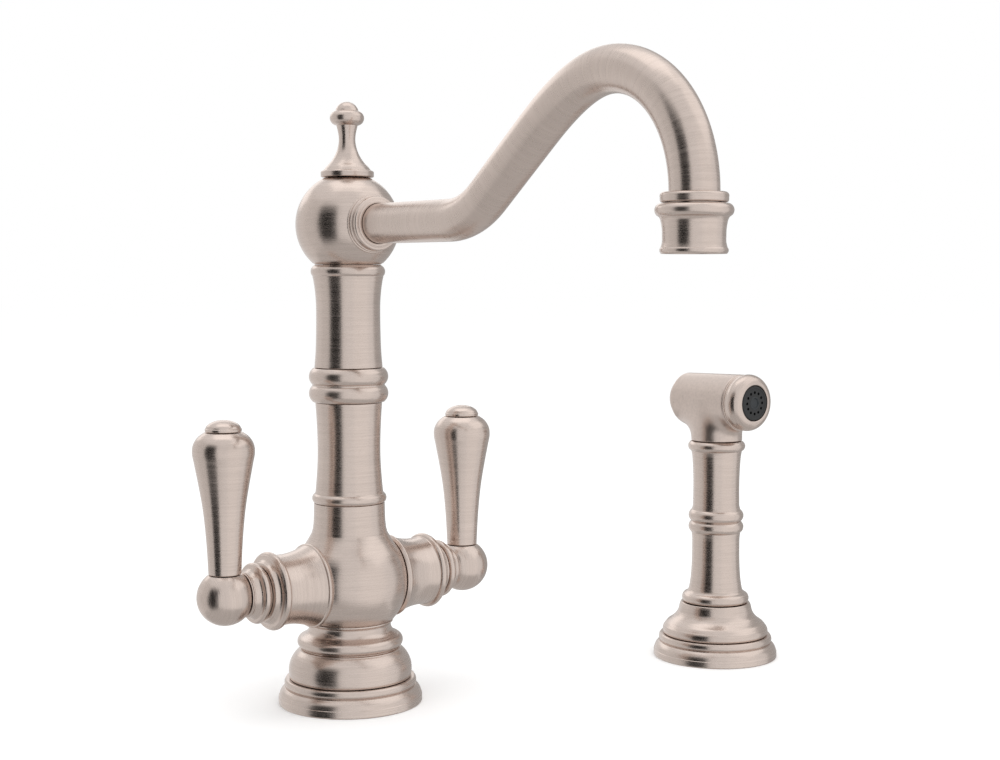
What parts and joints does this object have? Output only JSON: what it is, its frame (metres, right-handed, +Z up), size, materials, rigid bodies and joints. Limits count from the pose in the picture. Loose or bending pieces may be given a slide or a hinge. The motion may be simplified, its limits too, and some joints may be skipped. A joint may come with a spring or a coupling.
{
  "type": "two-handle kitchen faucet with side spray",
  "caption": "Column kitchen faucet with two lever handles, a swivelling gooseneck spout on a ball hub with a finial, and a side spray standing in its own deck holder.",
  "frame": {"origin": "centre of the column foot on the deck", "axes": "+Z up along the column, +X towards the right handle, -Y towards the user along the spout"},
  "size_m": [0.3311, 0.2914, 0.3034],
  "materials": {
    "nickel": "warm satin nickel plate, brushed round each turned piece",
    "brass": "plain machined brass",
    "stainless": "plain stainless steel",
    "rubber": "matt black rubber",
    "ceramic": "lapped white ceramic",
    "dark_plastic": "matt black plastic",
    "pale_plastic": "matt off-white plastic"
  },
  "bodies": {
    "faucet_body": {"foot_flange": "nickel", "foot_gasket": "rubber", "foot_plate": "brass", "pedestal": "nickel", "valve_body": "nickel", "lower_column": "nickel", "twin_ring_coupling": "nickel", "upper_column": "nickel", "riser_tube": "brass", "diverter_cartridge": "pale_plastic", "swivel_spindle": "brass", "spindle_seal_lower": "rubber", "spindle_seal_upper": "rubber", "swivel_washer": "pale_plastic", "swivel_nut": "stainless", "left_valve_sleeve": "nickel", "left_trim_ring": "nickel", "left_cartridge_body": "brass", "left_cartridge_seal": "rubber", "left_fixed_disc": "ceramic", "right_valve_sleeve": "nickel", "right_trim_ring": "nickel", "right_cartridge_body": "brass", "right_cartridge_seal": "rubber", "right_fixed_disc": "ceramic", "spray_foot_flange": "nickel", "spray_gasket": "rubber", "spray_foot_plate": "brass", "spray_holder": "nickel"},
    "spout": {"ball_hub": "nickel", "finial": "nickel", "spout_tube": "nickel", "spout_collar": "nickel", "spout_seal": "rubber", "outlet_collar": "nickel", "aerator_shell": "nickel", "aerator_insert": "dark_plastic", "aerator_washer": "rubber"},
    "spray_guide": {"spray_guide_bush": "pale_plastic"},
    "spray_handset": {"spray_grip": "nickel", "spray_hose_coupling": "brass", "spray_head": "nickel", "spray_bezel": "nickel", "spray_nozzle_face": "dark_plastic", "spray_button_spring": "stainless"},
    "spray_button": {"spray_thumb_button": "nickel"},
    "left_handle": {"left_turning_disc": "ceramic", "left_valve_stem": "brass", "left_handle_ball": "nickel", "left_grub_screw": "stainless", "left_lever": "nickel", "left_lever_cap": "nickel"},
    "right_handle": {"right_turning_disc": "ceramic", "right_valve_stem": "brass", "right_handle_ball": "nickel", "right_grub_screw": "stainless", "right_lever": "nickel", "right_lever_cap": "nickel"}
  },
  "joints": [
    {"name": "spout_swivel", "type": "hinge", "parent": "faucet_body", "child": "spout", "pos_m": [0, 0, 0.2179], "axis": [0, 0, 1], "continuous": true},
    {"name": "left_handle_turn", "type": "hinge", "parent": "faucet_body", "child": "left_handle", "pos_m": [-0.0692, 0, 0.0609], "axis": [1, 0, 0], "range_deg": [0, 90]},
    {"name": "right_handle_turn", "type": "hinge", "parent": "faucet_body", "child": "right_handle", "pos_m": [0.0692, 0, 0.0609], "axis": [1, 0, 0], "range_deg": [0, 90]},
    {"name": "spray_turn", "type": "hinge", "parent": "faucet_body", "child": "spray_guide", "pos_m": [0.2132, -0.044, 0.0125], "axis": [0, 0, 1], "continuous": true},
    {"name": "spray_lift", "type": "slide", "parent": "spray_guide", "child": "spray_handset", "axis": [0, 0, 1], "range_m": [0, 0.05]},
    {"name": "spray_button_press", "type": "slide", "parent": "spray_handset", "child": "spray_button", "axis": [0, -1, 0], "range_m": [0, 0.0035], "stiffness_N_per_m": 400, "springref_m": -0.004, "deforming": ["spray_button_spring"]}
  ]
}
